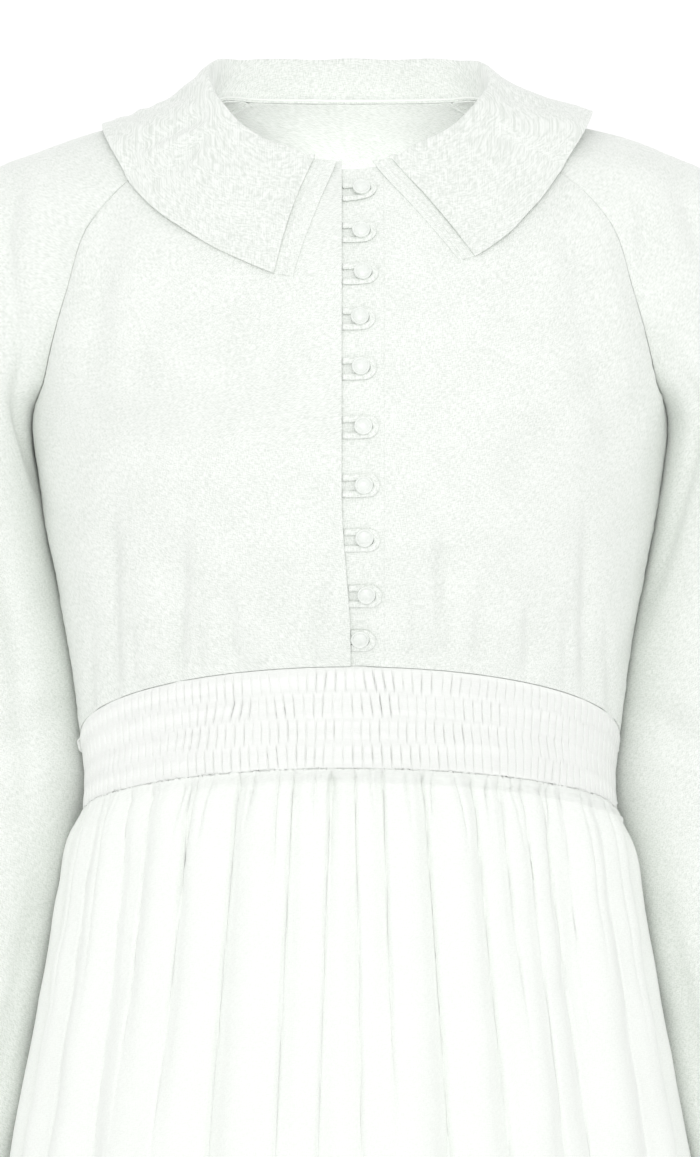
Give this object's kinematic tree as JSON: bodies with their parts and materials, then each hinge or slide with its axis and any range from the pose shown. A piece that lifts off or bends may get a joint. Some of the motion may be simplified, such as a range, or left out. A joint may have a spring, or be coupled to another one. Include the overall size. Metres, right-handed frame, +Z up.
{
  "type": "abaya",
  "caption": "Long loose-fitting gown in white cotton with raglan sleeves, a flat pointed collar, a loop and button front, a shirred waistband and a full gathered skirt.",
  "frame": {"origin": "midway between the two shoulder points of the neckline, where a wearer's shoulders carry the gown", "axes": "+Z up, the front faces -Y, +X towards the wearer's left arm, which is on the right seen from the front"},
  "size_m": [0.686, 0.5484, 1.4564],
  "materials": {
    "white_cotton": "matt plain-weave white cotton with a faint grey-green cast",
    "pearl_button": "pearly white, softly glossy"
  },
  "bodies": {
    "root": {"front_left": "white_cotton", "front_right": "white_cotton", "back": "white_cotton", "sleeve_left": "white_cotton", "sleeve_right": "white_cotton", "collar": "white_cotton", "collar_strip_left": "white_cotton", "collar_strip_right": "white_cotton", "button_stand": "white_cotton", "waistband_front": "white_cotton", "waistband_back": "white_cotton", "skirt_front": "white_cotton", "skirt_back": "white_cotton", "loop_01": "white_cotton", "loop_02": "white_cotton", "loop_03": "white_cotton", "loop_04": "white_cotton", "loop_05": "white_cotton", "loop_06": "white_cotton", "loop_07": "white_cotton", "loop_08": "white_cotton", "loop_09": "white_cotton", "loop_10": "white_cotton", "button_01": "pearl_button", "button_02": "pearl_button", "button_03": "pearl_button", "button_04": "pearl_button", "button_05": "pearl_button", "button_06": "pearl_button", "button_07": "pearl_button", "button_08": "pearl_button", "button_09": "pearl_button", "button_10": "pearl_button"}
  },
  "joints": []
}
